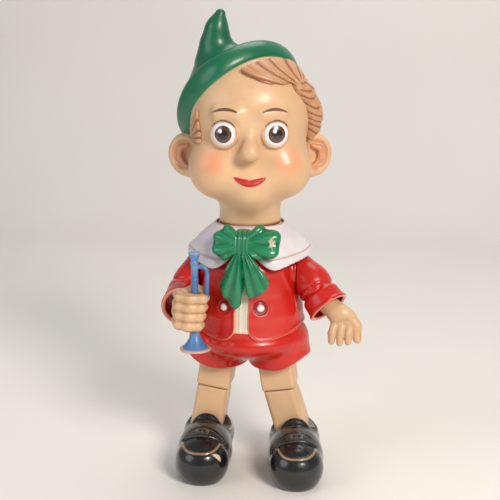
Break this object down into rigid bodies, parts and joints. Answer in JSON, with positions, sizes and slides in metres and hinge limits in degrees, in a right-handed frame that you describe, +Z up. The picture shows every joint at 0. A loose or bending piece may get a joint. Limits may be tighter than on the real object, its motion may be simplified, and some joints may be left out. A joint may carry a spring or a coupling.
{
  "type": "jointed vinyl puppet figure",
  "caption": "Standing moulded-vinyl puppet boy with a peaked hat, a bow, a toy trumpet, a turning head, swinging arms and folding knees.",
  "frame": {"origin": "centre of the figure's footprint box, on the floor under the soles", "axes": "+Z up, the figure faces -Y, its own left side is +X"},
  "size_m": [0.1932, 0.1614, 0.4494],
  "materials": {
    "skin_vinyl": "satin",
    "red_vinyl": "gloss",
    "green_vinyl": "gloss",
    "white_vinyl": "satin",
    "black_vinyl": "gloss",
    "blue_vinyl": "satin",
    "hair_vinyl": "satin",
    "plug_vinyl": "matte",
    "pin_steel": "satin"
  },
  "bodies": {
    "torso": {"torso_shell": "skin_vinyl", "jacket": "red_vinyl", "shirt_front": "white_vinyl", "collar": "white_vinyl", "bow_knot": "green_vinyl", "bow_loops": "green_vinyl", "bow_tails": "green_vinyl", "jacket_buttons": "white_vinyl", "shorts": "red_vinyl", "thigh_right": "skin_vinyl", "thigh_left": "skin_vinyl", "knee_pin_right": "pin_steel", "knee_pin_left": "pin_steel"},
    "head": {"head_shell": "skin_vinyl", "neck_plug": "plug_vinyl", "hair": "hair_vinyl", "eye_right": "white_vinyl", "eye_left": "white_vinyl", "pupil_right": "black_vinyl", "pupil_left": "black_vinyl", "hat_crown": "green_vinyl", "hat_brim": "green_vinyl"},
    "right_arm": {"sleeve_right": "red_vinyl", "shoulder_plug_right": "plug_vinyl", "hand_right": "skin_vinyl", "trumpet_tube": "blue_vinyl", "trumpet_loop": "blue_vinyl", "trumpet_bell": "blue_vinyl"},
    "left_arm": {"sleeve_left": "red_vinyl", "shoulder_plug_left": "plug_vinyl", "hand_left": "skin_vinyl"},
    "right_leg": {"shin_right": "skin_vinyl", "shoe_right": "black_vinyl", "shoe_strap_right": "black_vinyl"},
    "left_leg": {"shin_left": "skin_vinyl", "shoe_left": "black_vinyl", "shoe_strap_left": "black_vinyl"}
  },
  "joints": [
    {"name": "neck_swivel", "type": "hinge", "parent": "torso", "child": "head", "pos_m": [-0.0151, 0.0019, 0.247], "axis": [0, 0, 1], "continuous": true},
    {"name": "right_shoulder", "type": "hinge", "parent": "torso", "child": "right_arm", "pos_m": [-0.0636, 0.0019, 0.199], "axis": [-1, 0, 0], "range_deg": [-5, 30]},
    {"name": "left_shoulder", "type": "hinge", "parent": "torso", "child": "left_arm", "pos_m": [0.0334, 0.0019, 0.199], "axis": [-1, 0, 0], "range_deg": [-90, 65]},
    {"name": "right_knee", "type": "hinge", "parent": "torso", "child": "right_leg", "pos_m": [-0.0506, 0.0139, 0.08], "axis": [0.9877, 0, -0.1564], "range_deg": [0, 60]},
    {"name": "left_knee", "type": "hinge", "parent": "torso", "child": "left_leg", "pos_m": [0.0159, 0.0139, 0.08], "axis": [0.9877, 0, 0.1564], "range_deg": [0, 60]}
  ]
}
